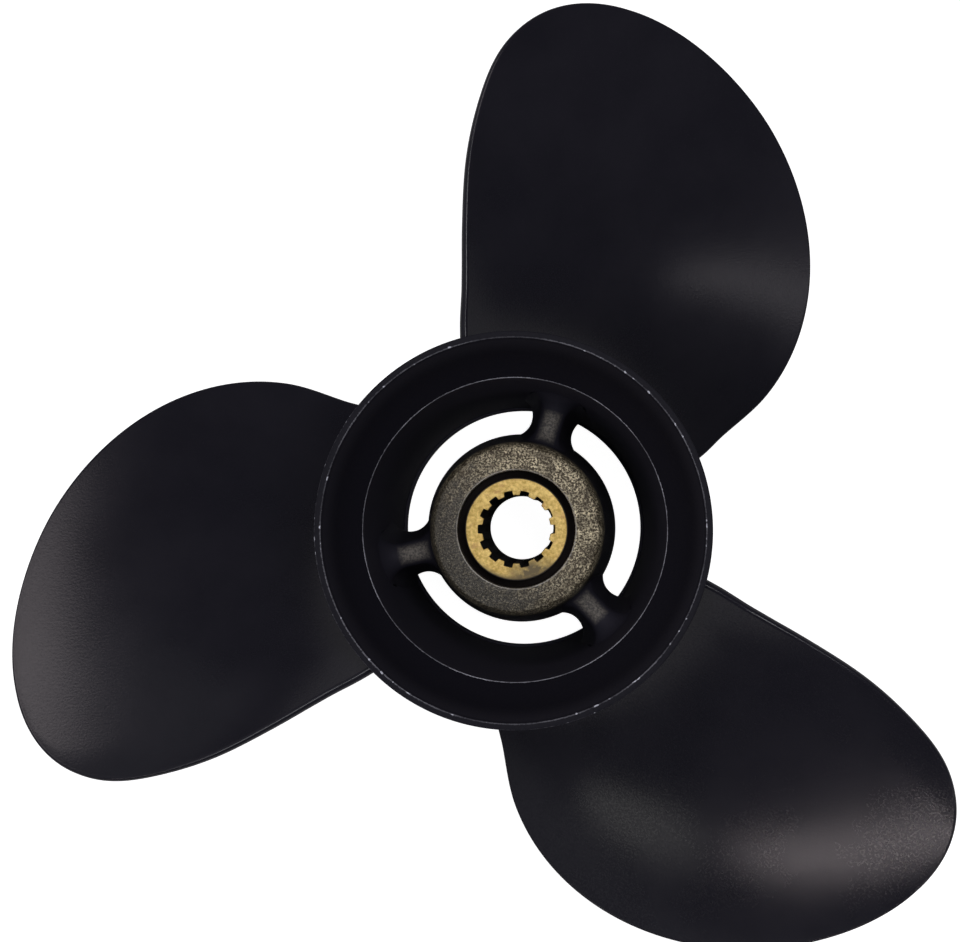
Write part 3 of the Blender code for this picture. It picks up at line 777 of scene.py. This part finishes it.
def bare_casting(grain, wear):
    """The boss: rough bare metal on its aft face, with painted glints, and darker, duller and smoother
    towards one side as painted shade; its flank is painted black.
    """
    material, tree, shader = new_finish("bare_casting", METAL_MID, 0.42, 0.35)
    paint, _, _ = paint_look(tree, grain)
    place = add_node(tree, "TexCoord").outputs["Object"]
    parts = add_node(tree, "SeparateXYZ", {"Vector": place})
    face = ramp(tree, parts.outputs["Z"], BOSS_AFT_Z - 8.0 * MM, BOSS_AFT_Z - 4.0 * MM)
    tiny, small, wide = (grain_node(tree, grain, size)["Fine"] for size in METAL_GRAINS)
    flat = multiply_each(tree, place, ACROSS_AXIS)
    radius = length_of(tree, flat)
    round_way = add_node(tree, "VectorMath", {0: flat}, operation="NORMALIZE").outputs["Vector"]
    streak_place = add_node(tree, "SeparateXYZ", {"Vector": round_way})
    streak_place = add_node(
        tree,
        "CombineXYZ",
        {
            "X": product(tree, streak_place.outputs["X"], STREAK_COUNT),
            "Y": product(tree, streak_place.outputs["Y"], STREAK_COUNT),
            "Z": product(tree, radius, 1 / STREAK_WIDTH),
        },
    ).outputs["Vector"]
    streaks = add_node(tree, "TexNoise", {"Vector": streak_place, "Scale": 1.0, "Detail": 2.0})
    tone = blend_colour(tree, ramp(tree, wide, 0.40, 0.60), METAL_DARK, METAL_MID)
    tone = blend_colour(tree, ramp(tree, small, 0.42, 0.56), METAL_DARK, tone)
    # Painted glints: bright specks in the colour along the streaks stand in for sparkles of reflected light
    glints = ramp(tree, streaks.outputs["Fac"], 0.38, 0.58, 0.3, 1.0)
    glint_share = product(tree, ramp(tree, small, 0.47, 0.58), glints)
    glint_share = product(tree, glint_share, ramp(tree, wide, 0.36, 0.56, 0.4, 1.0))
    tone = blend_colour(tree, glint_share, tone, METAL_GLINT)
    ragged = ramp(tree, wide, 0.3, 0.7, -0.45, 0.45)
    # Painted shade: the face darkens towards its lower-left side with a ragged border, and is less metallic
    # and smoother there
    painted_shade = ramp(tree, calculate(tree, "ADD", toward(tree, place, PAINTED_SHADE_SIDE), ragged), -0.3, 0.5)
    painted_shade_tone = blend_colour(tree, ramp(tree, small, 0.38, 0.62), PAINTED_SHADE_DARK, PAINTED_SHADE_LIGHT)
    painted_shade_cover = product(tree, painted_shade, ramp(tree, tiny, 0.54, 0.62, 1.0, 0.6))
    tone = blend_colour(tree, painted_shade_cover, tone, painted_shade_tone)
    edge = ring_wear(tree, wear, BOSS_HOLE_RADIUS + 0.2 * MM, BOSS_AFT_Z - 0.1 * MM, BOSS_EDGE_WEAR)
    tone = blend_colour(tree, edge["Worn"], tone, EDGE_BRIGHT)
    tree.links.new(blend_colour(tree, face, paint, tone), shader.inputs["Base Color"])
    bare = product(tree, face, ramp(tree, painted_shade, 0, 1, 1.0, 0.2))
    tree.links.new(ramp(tree, bare, 0, 1, 0.0, 0.45), shader.inputs["Metallic"])
    add_bump(tree, shader, small, METAL_BUMP, ramp(tree, painted_shade, 0, 1, 1.0, 0.6))
    return material


def rubber_finish(grain):
    material, tree, shader = new_finish("rubber", RUBBER, 0.8)
    fine = grain_node(tree, grain, RUBBER_GRAIN)
    tone = blend_colour(tree, fine["Patches"], RUBBER_DARK, RUBBER_LIGHT)
    tree.links.new(tone, shader.inputs["Base Color"])
    tree.links.new(ramp(tree, fine["Fine"], 0.3, 0.7, 0.75, 0.9), shader.inputs["Roughness"])
    shader.inputs["Specular IOR Level"].default_value = 0.2
    return material


def brass_finish(grain):
    """Brass with brown stains, a dull smudge at one side, and painted shade: darker round its lower outer
    edge, and near black inside the bore and round its side.
    """
    material, tree, shader = new_finish("brass", BRASS_BRIGHT, 0.5, 0.6)
    fine = grain_node(tree, grain, BRASS_GRAIN)
    coarse = grain_node(tree, grain, BRASS_STAIN_GRAIN)
    tone = blend_colour(tree, ramp(tree, fine["Fine"], 0.35, 0.65), BRASS_DARK, BRASS_BRIGHT)
    tone = blend_colour(tree, ramp(tree, coarse["Fine"], 0.57, 0.70, 0.0, 0.7), tone, BRASS_RED)
    place = add_node(tree, "TexCoord").outputs["Object"]
    squeezed = multiply_each(tree, place, SMUDGE_SCALE)
    away = add_node(tree, "VectorMath", {0: squeezed, 1: SMUDGE_PLACE}, operation="DISTANCE")
    smudge = ramp(tree, away.outputs["Value"], SMUDGE_REACH, SMUDGE_CORE)
    smudge = product(tree, smudge, ramp(tree, coarse["Fine"], 0.36, 0.52, 0.5, 1.0))
    tone = blend_colour(tree, smudge, tone, BRASS_STAIN_AND_SHADE)
    parts = add_node(tree, "SeparateXYZ", {"Vector": place}).outputs
    height = parts["Z"]
    radius = length_of(tree, multiply_each(tree, place, ACROSS_AXIS))
    # Painted shade: the brass darkens round its lower outer edge
    shaded_fringe = product(
        tree,
        ramp(tree, radius, SLEEVE_RADIUS - 1.4 * MM, SLEEVE_RADIUS - 0.3 * MM),
        ramp(tree, parts["Y"], -7.5 * MM, -11 * MM, 0.0, 0.85),
    )
    tone = blend_colour(tree, shaded_fringe, tone, BRASS_STAIN_AND_SHADE)
    # Painted shade: the bore's walls and the outer side are painted near black, dull and not metallic
    side = ramp(tree, height, SLEEVE_AFT_Z - 0.1 * MM, SLEEVE_AFT_Z - 0.35 * MM)
    side = greater(tree, side, ramp(tree, radius, SLEEVE_RADIUS - 0.40 * MM, SLEEVE_RADIUS - 0.15 * MM))
    tree.links.new(blend_colour(tree, side, tone, BRASS_SHADE), shader.inputs["Base Color"])
    tree.links.new(ramp(tree, side, 0, 1, 0.6, 0.0), shader.inputs["Metallic"])
    tree.links.new(ramp(tree, side, 0, 1, 0.5, 0.8), shader.inputs["Roughness"])
    add_bump(tree, shader, fine["Fine"], BRASS_BUMP)
    return material


def make_floor():
    shape = bmesh.new()
    bmesh.ops.create_grid(shape, x_segments=1, y_segments=1, size=FLOOR_SIZE / 2)
    mesh = bpy.data.meshes.new("floor")
    shape.to_mesh(mesh)
    shape.free()
    floor = bpy.data.objects.new("floor", mesh)
    bpy.context.scene.collection.objects.link(floor)
    material, tree, shader = new_finish("pale_floor", (0.6, 0.6, 0.6), 0.8)
    shader.inputs["Emission Color"].default_value = (FLOOR_GLOW, FLOOR_GLOW, FLOOR_GLOW, 1)
    tree.links.new(add_node(tree, "LightPath").outputs["Is Camera Ray"], shader.inputs["Emission Strength"])
    mesh.materials.append(material)


def direction(clockwise, tilt):
    """A direction by its clockwise angle from +Y, as seen from the aft end, and its tilt from the axis."""
    turn, lean = math.radians(clockwise), math.radians(tilt)
    return Vector((math.sin(turn) * math.sin(lean), math.cos(turn) * math.sin(lean), math.cos(lean)))


def add_light(name, clockwise, tilt, roll, distance, across, along, watts, colour):
    """A soft oval light aimed at the hub: across is its size round the shaft's axis, along is its size down
    the tilt, and roll turns it from the first towards the second."""
    lamp = bpy.data.lights.new(name, "AREA")
    lamp.shape = "ELLIPSE"
    lamp.size = across
    lamp.size_y = along
    lamp.energy = watts
    lamp.color = colour
    light = bpy.data.objects.new(name, lamp)
    way = direction(clockwise, tilt)
    side = Vector((way.y, -way.x, 0)).normalized()
    turn = Matrix((side, way.cross(side), way)).transposed().to_4x4()
    turn = turn @ Matrix.Rotation(math.radians(roll), 4, "Z")
    light.matrix_world = Matrix.Translation(Vector((0, 0, HUB_LENGTH / 2)) + way * distance) @ turn
    bpy.context.scene.collection.objects.link(light)


def make_lights():
    for name, values in LIGHTS.items():
        add_light(name, *values)
    world = bpy.data.worlds.new("studio")
    bpy.context.scene.world = world
    world.use_nodes = True
    tree = world.node_tree
    background = tree.nodes["Background"]
    background.inputs["Color"].default_value = ROOM_COLOUR
    background.inputs["Strength"].default_value = ROOM_STRENGTH
    seen = tree.nodes.new("ShaderNodeBackground")
    seen.inputs["Color"].default_value = (1, 1, 1, 1)
    path = tree.nodes.new("ShaderNodeLightPath")
    mix = tree.nodes.new("ShaderNodeMixShader")
    tree.links.new(path.outputs["Is Camera Ray"], mix.inputs["Fac"])
    tree.links.new(background.outputs[0], mix.inputs[1])
    tree.links.new(seen.outputs[0], mix.inputs[2])
    tree.links.new(mix.outputs[0], tree.nodes["World Output"].inputs["Surface"])
    bpy.context.scene.view_settings.view_transform = "Standard"


def make_camera():
    camera = bpy.data.cameras.new("camera")
    camera.lens = LENS
    camera.clip_start = 0.01
    eye = bpy.data.objects.new("camera", camera)
    tip = Matrix.Rotation(math.radians(CAMERA_TIP), 4, "X")
    turn = Matrix.Rotation(math.radians(CAMERA_TURN), 4, "Y")
    seen = Matrix.Translation(CAMERA_SHIFT) @ turn @ tip @ Matrix.Translation((0, 0, -HUB_LENGTH))
    eye.matrix_world = seen.inverted()
    bpy.context.scene.collection.objects.link(eye)
    bpy.context.scene.camera = eye


def main():
    make_camera()
    make_floor()
    make_lights()
    grain = grain_group()
    wear = ring_wear_group()
    paint = black_paint(grain, wear)
    make_hub(paint)
    make_boss(bare_casting(grain, wear))
    for number in range(1, BLADE_COUNT + 1):
        make_rib(number, paint)
    make_blades(paint)
    make_bush(rubber_finish(grain))
    make_sleeve(brass_finish(grain))


main()
